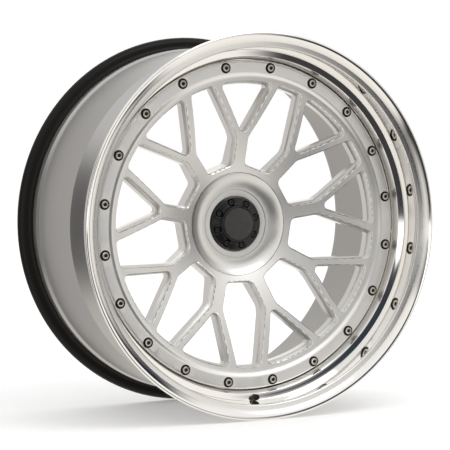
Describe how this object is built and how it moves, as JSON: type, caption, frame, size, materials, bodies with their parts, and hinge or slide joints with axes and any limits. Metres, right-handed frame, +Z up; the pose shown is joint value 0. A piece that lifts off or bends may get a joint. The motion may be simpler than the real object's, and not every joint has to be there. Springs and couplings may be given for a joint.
{
  "type": "racing wheel rim",
  "caption": "Three-piece forged wheel rim with Y-shaped spokes, stepped polished lip, ring of assembly bolts, pull-off hub cover, black centre plug and tyre valve.",
  "frame": {"origin": "on the axle line, half way between the two tyre beads, which is also the centre of the outer box", "axes": "+Y along the axle towards the vehicle, so the street face looks along -Y; +Z up through a spoke; +X to the right seen from the street side"},
  "size_m": [0.5478, 0.2652, 0.5478],
  "materials": {
    "brushed_disc": "machined and fine brushed, clear coated",
    "polished_lip": "mirror polished",
    "satin_barrel": "satin, rear flange gloss black",
    "sealant": "smooth silicone bead",
    "bolt_steel": "turned, light bronze tint",
    "black_steel": "black oxide",
    "turned_cover": "lathe turned, fine concentric lines",
    "rubber": "moulded",
    "gloss_black": "gloss",
    "screw_steel": "machined",
    "badge_face": "satin",
    "valve_brass": "nickel plated",
    "cap_black": "moulded with grip ribs"
  },
  "bodies": {
    "wheel": {"centre_disc": "brushed_disc", "outer_lip": "polished_lip", "inner_barrel": "satin_barrel", "joint_sealant": "sealant", "assembly_bolts": "bolt_steel", "bolt_washers": "black_steel", "assembly_nuts": "bolt_steel", "valve_stem": "valve_brass", "valve_seal": "rubber", "valve_nut": "valve_brass", "valve_core": "valve_brass", "valve_spring": "bolt_steel"},
    "cover": {"hub_cover": "turned_cover", "cover_o_ring": "rubber", "centre_plug": "gloss_black", "plug_screws": "screw_steel", "plug_backing_ring": "satin_barrel", "badge_disc": "badge_face", "badge_clip": "black_steel"},
    "valve_cap": {"valve_cap": "cap_black", "valve_cap_seal": "rubber"},
    "valve_pin": {"valve_core_pin": "valve_brass"}
  },
  "joints": [
    {"name": "cover_pull_off", "type": "slide", "parent": "wheel", "child": "cover", "axis": [0, -1, 0], "range_m": [0, 0.13]},
    {"name": "cap_lift_off", "type": "slide", "parent": "wheel", "child": "valve_cap", "axis": [0, -1, 0], "range_m": [0, 0.05]},
    {"name": "valve_pin_press", "type": "slide", "parent": "wheel", "child": "valve_pin", "axis": [0, 1, 0], "range_m": [0, 0.0012], "stiffness_N_per_m": 300, "springref_m": -0.004, "deforming": ["valve_spring"]}
  ]
}
